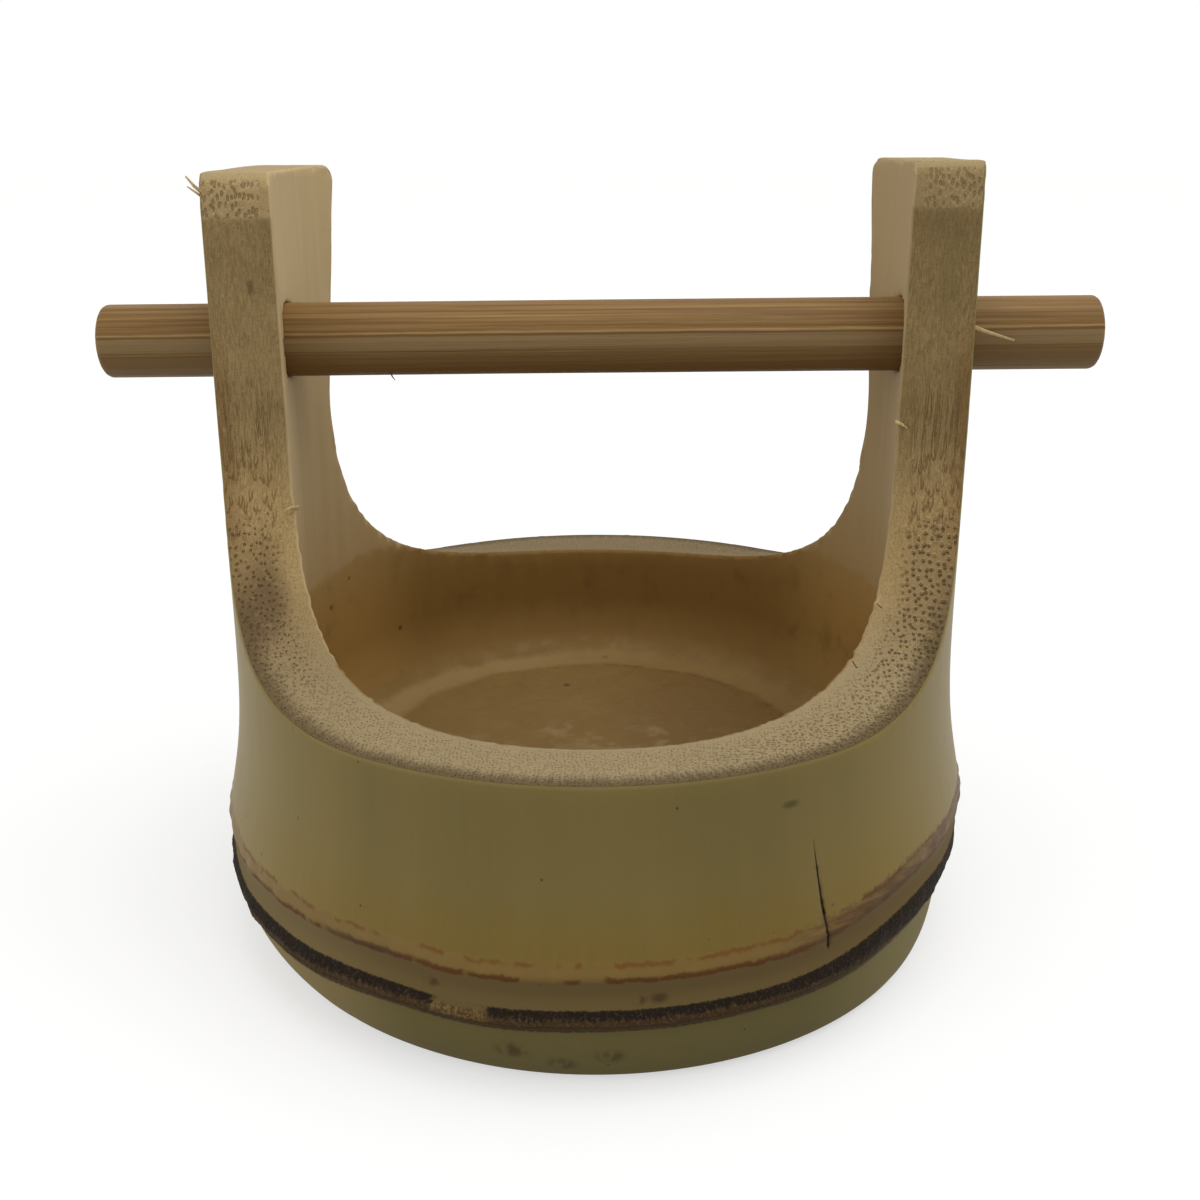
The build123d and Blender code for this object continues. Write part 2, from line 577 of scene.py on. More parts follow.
def make_rod():
    """The dowel as a closed tube with rounded ends, about the axis of its joint."""
    half = (rod_length + rod_extra) / 2
    round_steps = [math.pi / 2 * k / 5 for k in range(6)]
    stations = [(-half, 0.02), (-half, 1.3), (-half, 2.6)]
    for step in round_steps:
        inset = rod_end_round * (1.0 - math.sin(step))
        stations.append((-half + rod_end_round * (1.0 - math.cos(step)), rod_radius - inset))
    span = 2 * (half - rod_end_round)
    for k in range(1, rod_rings):
        stations.append((-half + rod_end_round + span * k / rod_rings, rod_radius))
    stations += [(-at, radius) for at, radius in reversed(stations[: 3 + len(round_steps)])]
    turns = np.arange(rod_sides) * math.tau / rod_sides
    upward = rod_axis.cross(backward)
    work = bmesh.new()
    rings = []
    for at, radius in stations:
        wear = 0.035 * ripple(turns, (7, 13, 19, 29), 11) + 0.02 * ripple(turns + 0.004 * at, (31, 43), 12)
        bow = 0.05 * math.cos(math.pi * at / rod_length)
        ring = []
        for turn, change in zip(turns, wear):
            grown = radius * (1.0 + change / rod_radius)
            place = rod_middle + rod_axis * (at + rod_shift)
            place = place + backward * (grown * math.cos(turn)) + upward * (grown * math.sin(turn) + bow)
            ring.append(work.verts.new(place))
        rings.append(ring)
    join_rings(work, rings)
    for ring in (rings[0], rings[-1]):
        bmesh.ops.pointmerge(work, verts=ring, merge_co=sum((v.co for v in ring), Vector()) / rod_sides)
    return finish_mesh(work, "dowel_handle")


# Torn fibres: the corners round them, and how much thinner their tips are
splinter_sides = 8
splinter_taper = 0.65

# Each of them as its name, the body that it rides on, its width and the points along it
splinters = (
    ("top_splinter", "cup", 0.5, ((-39.3, -8.5, 82.2), (-40.2, -8.8, 83.0), (-41.0, -8.9, 84.0))),
    ("top_splinter_small", "cup", 0.35, ((-39.3, -8.6, 81.8), (-40.2, -8.9, 82.5), (-40.9, -9.0, 83.0))),
    ("side_splinter", "cup", 0.6, ((39.8, -4.8, 68.6), (42.0, -4.75, 67.8), (45.3, -4.7, 66.8))),
    ("left_flake", "cup", 0.6, ((-31.7, -10.5, 49.8), (-32.2, -11.1, 50.0), (-32.9, -11.1, 49.7))),
    ("right_flake", "cup", 0.5, ((32.2, -9.2, 58.9), (32.8, -9.6, 58.7), (33.4, -9.65, 58.3))),
    ("rod_hair", "rod", 0.22, ((-22.4, -2.0, 63.1), (-22.1, -2.4, 62.6), (-21.8, -2.5, 62.2))),
)


def make_splinter(name, width, path):
    """A torn fibre along a path of points, drawn out to a tip, and marked as torn for its colour."""
    places = [Vector(place) for place in path]
    turns = [math.tau * k / splinter_sides for k in range(splinter_sides)]
    work = bmesh.new()
    rings = []
    for k, place in enumerate(places):
        along = (places[min(k + 1, len(places) - 1)] - places[max(k - 1, 0)]).normalized()
        across = along.cross(backward).normalized()
        through = along.cross(across)
        half = width / 2 * (1.0 - splinter_taper * k / (len(places) - 1))
        ring = [across * (half * math.cos(turn)) + through * (0.5 * half * math.sin(turn)) for turn in turns]
        rings.append([work.verts.new(place + offset) for offset in ring])
    join_rings(work, rings)
    work.faces.new(rings[0])
    work.faces.new(rings[-1][::-1])
    piece = finish_mesh(work, name)
    for layer, value in (("skin_depth", 3.0), ("cavity_depth", 3.0), ("recess_depth", 9.0), ("torn", 1.0)):
        store(piece, layer, np.full(len(piece.data.vertices), value))
    return piece


class Wire:
    """An output of a node that takes part in sums, so that a material reads as a formula."""

    def __init__(self, graph, socket):
        self.graph = graph
        self.socket = socket

    def __add__(self, other):
        return self.graph.maths("ADD", self, other)

    def __sub__(self, other):
        return self.graph.maths("SUBTRACT", self, other)

    def __rsub__(self, other):
        return self.graph.maths("SUBTRACT", other, self)

    def __mul__(self, other):
        return self.graph.maths("MULTIPLY", self, other)

    def __truediv__(self, other):
        return self.graph.maths("DIVIDE", self, other)

    def __neg__(self):
        return 0.0 - self

    def __abs__(self):
        return self.graph.maths("ABSOLUTE", self)

    def mix(self, other, share):
        return self.graph.mix(self, other, share)

    def lay(self, other, share):
        """Lays another colour over this one, which the wire carries from here on."""
        self.socket = self.mix(other, share).socket

    __radd__ = __add__
    __rmul__ = __mul__


class Graph:
    """The nodes of a material or of the world, with one method for each kind of node in use."""

    def __init__(self, owner):
        owner.use_nodes = True
        self.owner = owner
        self.tree = owner.node_tree
        self.tree.nodes.clear()

    def node(self, kind, inputs=None, **settings):
        """A new shader node. Each of its inputs takes a wire or a fixed value."""
        made = self.tree.nodes.new("ShaderNode" + kind)
        for name, value in settings.items():
            setattr(made, name, value)
        for name, value in (inputs or {}).items():
            if isinstance(value, Wire):
                self.tree.links.new(value.socket, made.inputs[name])
            else:
                made.inputs[name].default_value = value
        return made

    def wire(self, kind, inputs=None, output=0, **settings):
        """One output of a new node."""
        return Wire(self, self.node(kind, inputs, **settings).outputs[output])

    def maths(self, operation, *values):
        return self.wire("Math", dict(enumerate(values)), operation=operation)

    def most(self, first, second):
        return self.maths("MAXIMUM", first, second)

    def length(self, across, up):
        return self.maths("SQRT", across * across + up * up)

    def vectors(self, operation, first, second, output=0):
        return self.wire("VectorMath", {0: first, 1: second}, output, operation=operation)

    def scaled(self, vector, scale):
        return self.wire("VectorMath", {0: vector, "Scale": scale}, operation="SCALE")

    def attribute(self, name):
        return self.wire("Attribute", output="Fac", attribute_name=name)

    def vector(self, x, y, z):
        return self.wire("CombineXYZ", {0: x, 1: y, 2: z})

    def step(self, low, high, x):
        """Rises from 0 at low to 1 at high, or falls where low is the larger."""
        return self.wire("MapRange", {0: x, 1: low, 2: high}, interpolation_type="SMOOTHSTEP")

    def band(self, low, high, soft, x):
        """1 between low and high, with soft ends."""
        return self.step(low - soft, low + soft, x) * self.step(high + soft, high - soft, x)

    def noise(self, vector, scale, detail=2.0, roughness=0.5):
        inputs = {"Vector": vector, "Scale": scale, "Detail": detail, "Roughness": roughness}
        return self.wire("TexNoise", inputs)

    def grain(self, across, up, detail=2.0, roughness=0.5):
        """Noise that is drawn out along the height, by how fine it is across and up."""
        return self.noise(self.vector(self.x * across, self.y * across, self.z * up), 1.0, detail, roughness)

    def skin_grain(self, up, scale, detail=2.0, roughness=0.5):
        """Noise that is drawn out along the height, and the same through the depth of the skin."""
        return self.noise(self.vector(self.round_x, self.round_y, self.z * up), scale, detail, roughness)

    def scatter(self, vector, scale, dimensions, uneven):
        """The distance to the nearest of many scattered points, its place and a number of its own."""
        inputs = {"Vector": vector, "Scale": scale, "Randomness": uneven}
        made = self.node("TexVoronoi", inputs, voronoi_dimensions=dimensions)
        names = ("Distance", "Position", "Color")
        distance, place, colour = (Wire(self, made.outputs[name]) for name in names)
        return distance, place, self.wire("SeparateColor", {0: colour})

    def cells(self, vector, scale, dimensions="3D"):
        """The distance to the nearest of many scattered points, and a number that differs between them."""
        distance, _, kind = self.scatter(vector, scale, dimensions, 1.0)
        return distance, kind

    def hollows(self, vector, uneven):
        """Distance to the nearest of many points of a plane, how far above it a place lies, and a number that
        differs from point to point. The points are scattered more evenly the lower uneven is."""
        distance, place, kind = self.scatter(vector, 1.0, "2D", uneven)
        rise = self.wire("SeparateXYZ", {0: self.vectors("SUBTRACT", vector, place)}, 1)
        return distance, rise, kind

    def mix(self, first, second, share):
        """From one colour to another, each a wire or a colour as it looks on a screen."""
        first, second = (shade if isinstance(shade, Wire) else paint(*shade) for shade in (first, second))
        return self.wire("Mix", {0: share, 6: first, 7: second}, 2, data_type="RGBA")

    def blend(self, first, second, share):
        """From one number to another."""
        return self.wire("Mix", {0: share, 2: first, 3: second}, data_type="FLOAT")

    def near(self, x, z, wide, tall):
        """1 at a point of the front given by its arc and height, falling to 0 at an oval about it."""
        return self.step(1.0, 0.2, self.length((self.arc - x) / wide, (self.z - z) / tall))

    def spot(self, middle, size):
        """1 at a point, falling softly to 0 at a ball about it."""
        return self.step(size, size * 0.3, self.vectors("DISTANCE", self.place, middle, "Value"))

    def stroke(self, start, end, width):
        """1 along the line between two points, with soft sides."""
        along = Vector(end) - Vector(start)
        offset = self.vectors("SUBTRACT", self.place, start)
        share = self.vectors("DOT_PRODUCT", offset, along / along.length_squared, "Value")
        share = self.maths("MINIMUM", self.most(share, 0.0), 1.0)
        away = self.vectors("DISTANCE", offset, self.scaled(along, share), "Value")
        return self.step(width, width * 0.4, away)

    def surface(self, colour, roughness, height, specular):
        """The shader and its output. Height is in millimetres."""
        raised = self.wire("Bump", {"Height": height, "Strength": 1.0, "Distance": MM})
        return self.finish({"Base Color": colour, "Roughness": roughness, "Normal": raised,
                            "Specular IOR Level": specular})

    def finish(self, inputs):
        """The shader of a material, and its output."""
        shader = self.wire("BsdfPrincipled", inputs)
        self.node("OutputMaterial", {"Surface": shader})
        return self.owner


def piece_graph(name):
    """The graph of a new material, with the place on its piece in millimetres."""
    g = Graph(bpy.data.materials.new(name))
    g.place = g.scaled(g.wire("TexCoord", output="Object"), 1.0 / MM)
    split = g.node("SeparateXYZ", {0: g.place})
    g.x, g.y, g.z = (Wire(g, out) for out in split.outputs)
    return g


def paint(red, green, blue):
    """A colour as it looks on a screen, from 0 to 255, in the linear values that a shader takes."""
    values = [channel / 255 for channel in (red, green, blue)]
    linear = [v / 12.92 if v < 0.04045 else ((v + 0.055) / 1.055) ** 2.4 for v in values]
    return (*linear, 1.0)


# Dark spots on the inner wall and the floor, each as its middle and its radius
spots = (((-31.1, 12.4, 34.5), 0.45), ((-32.6, 7.8, 32.1), 0.6), ((-26.4, 20.6, 24.9), 0.5),
         ((22.3, 25.0, 18.9), 0.9), ((-4.9, 25.3, 18.4), 0.8), ((-4.0, 18.2, 17.6), 0.7),
         ((1.1, 27.3, 18.6), 0.8))

# Dark stains on the skin near the foot, each as its arc from the front, its height, width and tallness
stains = ((-7.5, 4.4, 2.4, 1.6), (2.0, 4.0, 2.0, 1.4), (-2.6, 2.8, 2.2, 1.4),
          (4.6, 10.6, 1.2, 0.7), (6.6, 10.7, 1.3, 0.8), (-15.2, 11.0, 1.3, 0.7))

# Dark fibre lines along the rod, each as its degrees above the front, half its width and its strength
rod_lines = ((68.0, 1.5, 0.25), (53.0, 1.8, 0.4), (40.0, 1.4, 0.4), (32.0, 2.2, 0.35), (21.5, 1.4, 0.4),
             (12.5, 1.6, 0.6), (-12.0, 1.3, 0.5), (-17.0, 1.0, 0.3))


def culm_material():
    """Green-gold skin, pale cut faces full of fibre ends, a brown inside and the dark scar of the node."""
    g = piece_graph("bamboo_culm")
    radius = g.length(g.x, g.y)
    g.round_x = g.x / radius * culm_radius
    g.round_y = g.y / radius * culm_radius
    g.arc = g.maths("ARCTAN2", g.x, -g.y) * arc_radius
    skin = g.attribute("skin_depth")
    cavity = g.attribute("cavity_depth")
    on_skin = g.step(0.24, 0.08, skin)
    in_cavity = g.step(0.4, 0.1, cavity)
    in_recess = g.step(0.5, 0.15, g.attribute("recess_depth"))
    upright = g.skin_grain(0.03, 1.6, 3, 0.6)
    skin_colour, skin_rough, skin_height = skin_look(g, upright)
    cut_colour, cut_height = cut_look(g, skin, cavity)
    wall_colour, wall_rough, wall_height = inside_look(g, radius)
    under_colour = g.mix((128, 103, 60), (150, 124, 78), g.noise(g.place, 0.4, 4, 0.6))
    colour = cut_colour.mix(wall_colour, in_cavity)
    colour.lay(under_colour, in_recess)
    colour.lay(skin_colour, on_skin)
    torn = g.mix((222, 196, 146), (184, 156, 106), g.noise(g.place, 3, 2))
    colour.lay(torn, g.attribute("torn"))
    rough = g.blend(0.72, wall_rough, in_cavity)
    rough = g.blend(rough, skin_rough, on_skin)
    height = g.blend(cut_height, wall_height, in_cavity)
    height = g.blend(height, skin_height, on_skin)
    return g.surface(colour, rough, height, 0.18)


def skin_look(g, upright):
    """Colour, roughness and height of the skin, from the rim down over the node to the foot."""
    level = g.attribute("node_level")
    wide = g.skin_grain(0.12, 0.11, 2)
    olive = g.mix((115, 99, 47), (123, 104, 51), g.step(0.35, 0.65, wide))
    olive.lay((106, 93, 45), g.step(0.5, 0.8, upright) * 0.2)
    gold = g.mix((129, 104, 44), (118, 95, 40), upright)
    turning = level + (upright - 0.5) * 5 + (wide - 0.5) * 9
    olive.lay((150, 142, 116), 0.08)
    colour = olive.mix(gold, g.step(22, 15, turning) * 0.75)
    # Lighter towards both sides of the culm: a painted sheen where the skin turns away from the eye.
    side_sheen = g.step(17, 38, abs(g.x))
    colour.lay((148, 128, 70), side_sheen * 0.62)
    ragged = g.skin_grain(0.6, 0.55, 3, 0.6)
    fur = g.noise(g.place, 2.4, 3, 0.7)
    line_level = level + (ragged - 0.5) * 1.3 + (fur - 0.5) * 0.5
    groove = g.mix((110, 91, 54), (124, 106, 68), g.step(-15, -30, g.round_x))
    colour.lay(groove, g.step(13.3, 12.8, level))
    warm = g.band(12.9, 14.8, 0.35, line_level)
    colour.lay((122, 96, 52), warm * 0.6)
    upper_dash = g.step(0.42, 0.50, g.noise(g.vector(g.round_x, g.round_y, 0), 0.3, 2))
    lower_dash = g.step(0.34, 0.42, g.noise(g.vector(g.round_x + 50, g.round_y, 0), 0.3, 2))
    upper_line = g.band(14.5, 14.9, 0.16, line_level) * upper_dash
    lower_line = g.band(12.85, 13.5, 0.18, line_level) * lower_dash
    colour.lay((112, 72, 24), upper_line * 0.85)
    colour.lay((92, 55, 16), lower_line * 0.95)
    dark_stretch = g.band(-27, -18, 2.5, g.arc) * g.band(12.8, 13.6, 0.25, line_level)
    colour.lay((78, 56, 32), dark_stretch * 0.8)
    layers = g.noise(g.vector(g.round_x * 0.3, g.round_y * 0.3, g.z * 2.2), 1, 3, 0.65)
    furry = g.band(12.5, 15, 0.3, line_level + (fur - 0.5) * 1.2)
    furry = furry * g.step(16, 28, g.arc) * g.step(25, 5, g.y)
    fur_colour = g.mix((82, 56, 29), (118, 90, 54), g.step(0.4, 0.65, layers))
    colour.lay(fur_colour, furry * 0.8)
    colour, scar = scar_look(g, fur, colour)
    speck, rare = g.cells(g.place, 0.32)
    specks = g.step(0.06, 0.03, speck) * g.step(0.55, 0.6, rare)
    colour.lay((62, 50, 26), specks * 0.8)
    colour.lay((74, 68, 32), g.near(20.4, 28, 1.4, 0.6) * 0.8)
    for arc, height, wide, tall in stains:
        spot = g.near(arc, height, wide, tall) * g.step(0.32, 0.52, ragged)
        colour.lay((60, 40, 18), spot * 0.7)
    colour.lay((24, 17, 9), crack_look(g))
    rough = g.blend(g.blend(0.40, 0.50, upright), 0.75, g.step(14, 12.8, level))
    rough = g.blend(rough, 0.85, scar)
    height = upright * 0.02 + fur * 0.2 * scar + (ragged * 0.1 + layers * 0.15 * furry) * warm
    return colour, rough, height


def crack_look(g):
    """1 along the same line as the crack's groove in the skin."""
    top_x, _, top_z = crack_top.tolist()
    foot_x, _, foot_z = crack_foot.tolist()
    share = (top_z - g.z) / (top_z - foot_z)
    bend = (share - crack_bend[1]) / crack_bend[2]
    middle = share * (foot_x - top_x) + top_x
    middle = middle + g.maths("EXPONENT", -(bend * bend)) * crack_bend[0]
    width = g.step(0, 0.6, share) * 0.10 + 0.05
    taper = g.step(0, 0.2, share) * g.step(1, 0.95, share) * g.step(1, -1, g.y)
    return g.step(1, 0.5, abs(g.x - middle) / width) * taper


def scar_look(g, fur, colour):
    """Lays the scar over the skin's colour: black above, with teeth downward, brown below, the foot, and a
    painted shadow line under the ledge.
    """
    scar = g.attribute("scar_level")
    foot_of_scar = scar_top - scar_width
    teeth = g.skin_grain(0.3, 3, 2)
    grain = g.cells(g.place, 5.5)[1]
    wider = g.step(14, 38, g.arc) * 0.8 + g.step(-18, -34, g.arc) * 0.25
    wider = wider * g.step(30, 10, g.y)
    gap = g.band(-15, -9.5, 0.4, g.arc + (fur - 0.5) * 2)
    foot = g.mix((114, 102, 60), (106, 95, 55), fur)
    foot.lay((146, 128, 82), g.step(-15, -30, g.round_x))
    foot.lay((134, 122, 80), g.step(19, 34, g.round_x))
    colour.lay(foot, g.step(foot_of_scar - 0.1, foot_of_scar - 0.5, scar))
    below = g.band(foot_of_scar + 0.05, scar_top - 0.1, 0.12, scar + (fur - 0.5) * 0.4)
    brown = g.mix((64, 46, 27), (88, 66, 40), g.step(0.5, 0.95, grain))
    colour.lay(brown, below * 0.92 * (1 - gap))
    black_foot = scar + wider + (teeth - 0.5) * 1.3
    black = g.step(scar_top - 0.95, scar_top - 0.6, black_foot)
    black = black * g.step(scar_top + 0.1, scar_top - 0.1, scar + (fur - 0.5) * 0.4)
    ash = g.mix((27, 20, 13), (62, 47, 30), g.step(0.6, 0.95, grain) * g.step(0.35, 0.6, fur))
    colour.lay(ash, black * (1 - gap) * 0.95)
    torn = g.mix((78, 56, 30), (128, 104, 62), g.step(0.42, 0.62, fur))
    colour.lay(torn, gap * g.band(foot_of_scar + 0.2, scar_top - 0.4, 0.25, scar) * 0.85)
    # A dark line along the underside of the ledge: a painted shadow that the ledge casts.
    line = g.band(foot_of_scar - 0.8, foot_of_scar + 0.2, 0.15, scar + (fur - 0.5) * 0.4)
    colour.lay((54, 38, 20), line * 0.85)
    return colour, g.most(g.most(black, below), line)


def ear_colour(g):
    """The ears' front faces, darker and greener in the middle of their height, with a fine upright grain."""
    grain = g.grain(6, 0.9, 3, 0.7)
    patch = g.grain(0.5, 0.16)
    dark = g.mix((151, 127, 85), (125, 103, 64), g.step(0.35, 0.65, grain))
    greener = g.step(0.42, 0.65, patch) * g.blend(0.2, 0.45, g.step(-1, 1, g.x))
    dark.lay((120, 103, 64), greener)
    light = g.mix((186, 158, 108), (164, 137, 90), g.step(0.35, 0.65, grain))
    lightness = g.step(62, 50, g.z) * 0.65 + g.step(2, -2, g.x) * 0.2
    lightness = lightness + g.band(62, 71, 3, g.z) * 0.15
    return dark.mix(light, lightness)


def ear_marks(g, skin):
    """Dark lines and arcs on the ears' front faces, where bundles are cut along, and pale torn flecks."""
    on_ear = g.step(42, 46, g.z)
    streams = g.grain(1.3, 0.045, 1)
    broken = g.grain(2, 0.35)
    lines = g.band(0.49, 0.51, 0.014, streams) + g.band(0.41, 0.42, 0.012, streams)
    lines = lines + g.band(0.58, 0.59, 0.012, streams)
    long_breaks = g.grain(2, 0.16)
    lines = lines * g.step(0.42, 0.52, long_breaks) * g.band(53, 63, 2.5, g.z)
    ring, rise, kind = g.hollows(g.vector(g.x * 1.5 + broken * 1.2, g.z * 0.4 + broken, 0), 0.85)
    arcs = g.band(0.19, 0.36, 0.1, ring) * g.step(0.3, -0.1, rise) * g.step(0, 0.15, kind)
    arcs = arcs * g.band(46, 56.5, 2, g.z) * 0.85
    low = g.most(lines, arcs) * on_ear * g.step(7.2, 4.5, skin)
    speck, speck_kind = g.cells(g.vector(g.x * 3.4, g.y * 3.4, g.z * 1.1), 1)
    specks = g.step(0.4, 0.2, speck) * g.step(0.7, 0.85, speck_kind)
    high = on_ear * g.step(54, 62, g.z) * g.step(cup_height - 4, cup_height - 5, g.z)
    fleck, fleck_kind = g.cells(g.vector(g.x * 2.6 + 7, g.y * 2.6, g.z * 0.9), 1)
    flecks = g.step(0.35, 0.2, fleck) * g.step(0.8, 0.9, fleck_kind) * on_ear * g.step(3.5, 1.5, skin)
    return g.most(low * 0.75, specks * high * 0.25), flecks * 0.35


def bundle_dots(g, skin, cavity):
    """The ends of fibre bundles on the cuts: how dark they are, darkest in their lower halves as painted
    shade in the pits, and the painted highlights on their upper rims.
    """
    inward = front_saddle + ear_front - abs(g.y)
    along = g.maths("ARCTAN2", inward, flare_start - g.z) * front_saddle
    along = along * 1.6 - along * along * 0.0105
    wander = g.grain(0.2, 0.16, 1)
    torn = g.noise(g.place, 1.6, 2)
    bundles = g.vector(g.x * 1.5 + wander * 1.5 + torn * 0.5, along * 1.06 + wander + torn * 0.5, 0)
    large, rise, large_kind = g.hollows(bundles, 0.72)
    fine = g.vector(g.x * 2.7 + wander * 3, along * 1.7 + wander, 0)
    small, _, small_kind = g.hollows(fine, 0.8)
    sloped = g.step(32.15, 36, g.z)
    to_right = g.step(-1, 18, g.x)
    to_left = g.step(-12, -27, g.x)
    reach = g.blend(0.25, 0.32, g.step(35, 44, g.z)) * (1 - to_left * 0.15)
    core = g.step(reach, reach * 0.5, large) * g.step(0, 0.12, large_kind)
    # Each dot is lightened in its upper half, so a dark crescent stays below it: painted shade in the pit.
    upper_half = g.step(-0.08, 0.1, rise) * g.blend(0.45, 0.75, g.step(38, 43, g.z))
    core = core * (1 - upper_half)
    # Pale upper rims round the dots: painted highlights.
    rim = g.band(reach + 0.02, reach + 0.14, 0.07, large) * g.step(-0.05, 0.2, rise)
    small_dot = g.step(0.30, 0.12, small) * g.step(0.1, 0.5, small_kind)
    out = g.step(1, 3.4, cavity)
    large_share = g.most(sloped, to_right * 0.7) * out
    fade = g.step(51, 46, g.z)
    dark = core * large_share * (to_right * 0.15 + 0.6) * fade
    fine_dark = small_dot * g.blend(0.3, 0.2, sloped) * g.step(0.4, 1.6, cavity)
    fine_dark = fine_dark * g.step(44, 38, g.z) * g.blend(1, 1.5, g.step(3, 1, skin))
    return g.most(dark, fine_dark), rim * large_share * sloped * fade * (0.15 + to_right * 0.5)


def cut_look(g, skin, cavity):
    """Colour and height of the sawn faces: dots, pits and lines where the cut meets upright fibre bundles."""
    mottle = g.noise(g.place, 0.9, 3, 0.65)
    fine = g.noise(g.place, 4.5, 2, 0.6)
    rim = g.mix((168, 149, 112), (150, 131, 94), mottle)
    rim.lay((124, 105, 70), g.step(18, 26, g.y) * 0.8)
    colour = rim.mix(ear_colour(g), g.step(33, 44, g.z))
    colour.lay((130, 105, 68), g.band(37, 47, 3, g.z) * g.step(1, 4, cavity) * 0.5)
    rightward = g.step(-1, 1, g.x)
    bevel = g.z - g.blend(cup_height - left_bevel, cup_height - right_bevel, rightward)
    on_bevel = g.step(-0.3, 0.4, bevel)
    pale = g.mix((184, 158, 112), (156, 131, 88), fine)
    pale.lay((140, 119, 80), rightward * 0.8)
    under_bevel = g.band(-3, 0.3, 0.6, bevel) * g.step(-36, -33, g.x)
    colour.lay((112, 94, 58), under_bevel * 0.25)
    colour.lay(pale, on_bevel * 0.9)
    crown = g.blend(cup_height + left_top, cup_height + right_top, rightward) - top_chamfer
    on_crown = g.step(0.4, 0.8, g.z - crown)
    pit, pit_rise, pit_kind = g.hollows(g.vector(g.x * 2.3 + mottle, g.z * 1.05 + mottle, 0), 0.9)
    pitted = on_bevel * (1 - on_crown) * g.step(0.6, 1.8, cavity) * g.blend(1, 0.75, rightward)
    # Tear-out pits on the bevels, dark with painted shade, and pale lower lips that are painted highlights.
    pits = g.step(0.42, 0.18, pit) * g.step(0.05, 0.25, pit_kind) * pitted
    pit_rims = g.band(0.38, 0.52, 0.08, pit) * g.step(0.1, -0.2, pit_rise) * pitted
    dashes, flecks = ear_marks(g, skin)
    dots, dot_rims = bundle_dots(g, skin, cavity)
    # Dark bundle ends, with painted shade in the bevel pits.
    marks = g.most(dots, pits * 0.4)
    colour.lay((94, 55, 17), marks)
    colour.lay((110, 71, 26), dashes)
    fibre_rich = g.step(2.4, 0.3, skin) * g.band(45, 68, 5, g.z)
    colour.lay((118, 82, 40), fibre_rich * 0.45)
    # Pale torn flecks, and painted highlights on the rims of the dots and the lips of the pits, in one
    # colour.
    rim_highlights = g.most(dot_rims, pit_rims * 0.4)
    colour.lay((198, 174, 130), g.most(flecks, rim_highlights))
    colour.lay((178, 157, 114), on_crown * 0.6)
    ticks = g.skin_grain(0.3, 3, 2, 0.6)
    dirt = g.step(2.7, 0.5, skin + (ticks - 0.5) * 2.4) * g.step(46, 36, g.z)
    colour.lay((90, 73, 45), dirt * 0.85)
    stain_x = (g.x + 35) / 3.8
    stain_y = (g.y + 16) / 5
    stain = g.step(1, 0.25, g.length(stain_x, stain_y)) * g.step(0.25, 0.5, mottle)
    colour.lay((88, 66, 42), stain * 0.72)
    dull = g.step(-14, -28, g.x) * g.band(33.5, 42, 2, g.z)
    colour.lay((112, 91, 60), dull * 0.25)
    colour.lay((112, 90, 54), g.step(0.5, 0.72, fine) * 0.35)
    for start, end in edge_cracks:
        colour.lay((58, 42, 22), g.stroke(start, end, 0.11) * 0.85)
    scuff = g.stroke((-35.25, -9.4, 73.4), (-35.2, -9.4, 72.3), 0.5) * g.step(0.35, 0.6, mottle)
    colour.lay((70, 48, 24), scuff * 0.5)
    height = fine * 0.07 + mottle * 0.08 + flecks * 0.15 + dot_rims * 0.15 - marks * 0.32 - dashes * 0.15
    return colour, height


def inside_look(g, radius):
    """Colour, roughness and height of the inner wall and floor."""
    upright = g.grain(0.6, 0.04)
    blotch = g.noise(g.place, 0.25, 4, 0.6)
    pale = g.mix((211, 187, 142), (194, 170, 124), upright)
    pale.lay((172, 147, 105), g.step(-1, 1, g.x) * 0.75)
    farther_back = g.step(-4, 3, g.y) * g.step(68, 56, g.z)
    pale.lay((150, 126, 84), farther_back * 0.3)
    brown = g.mix((138, 105, 51), (128, 96, 45), upright)
    # Lighter brown on the side walls of the hollow: painted light.
    side = g.step(22, 32, abs(g.x))
    brown.lay((166, 130, 70), side * 0.85)
    brown.lay((108, 78, 36), g.step(0.5, 0.75, blotch) * 0.4)
    # Browner and darker lower down the wall, paler higher up: partly the wall's own colour, partly painted
    # shade deep in the hollow.
    brown.lay((120, 89, 42), g.step(27, 20, g.z) * 0.5)
    border = g.step(35.6, 37, g.z + (blotch - 0.5) * 4)
    colour = brown.mix(pale, g.step(28, 50, g.z) * 0.6 + border * 0.4)
    on_floor = g.step(20.6, 18.6, g.z)
    wavy = radius + (blotch - 0.5) * 2.4
    within = g.step(25.7, 24.8, wavy)
    floor = g.mix((140, 112, 64), (122, 94, 50), blotch)
    floor.lay((112, 85, 45), within * g.step(-4, 14, g.x) * 0.7)
    colour.lay(floor, on_floor)
    ring = g.band(25.6, 28.9, 0.8, wavy) * g.step(22.5, 20, g.z)
    colour.lay((166, 140, 94), ring * g.blend(0.12, 0.55, g.step(12, -12, g.x)))
    broken = g.step(0.4, 0.6, g.noise(g.place, 0.5, 2))
    seam = g.band(24.9, 25.4, 0.45, wavy) * on_floor * g.step(-10, 6, g.x) * broken
    colour.lay((76, 54, 27), seam * 0.5)
    for middle, size in spots:
        colour.lay((70, 48, 22), g.spot(middle, size) * 0.75)
    gloss = g.noise(g.place, 0.35, 3, 0.6)
    # Pale streaks on the glossy patch of the floor: painted highlights. The patch's low roughness is its own.
    glint_strokes = g.most(g.stroke((-5, 4.9, 17.4), (3.1, -2.9, 17.4), 2.4),
                  g.stroke((7.5, 4, 17.4), (8.9, -2, 17.4), 1.6))
    colour.lay((168, 148, 108), glint_strokes * g.step(0.42, 0.6, gloss) * 0.25)
    rough = g.blend(0.7, 0.35, on_floor * g.step(0.5, 0.65, gloss))
    height = upright * 0.015 + gloss * 0.2 * on_floor
    return colour, rough, height


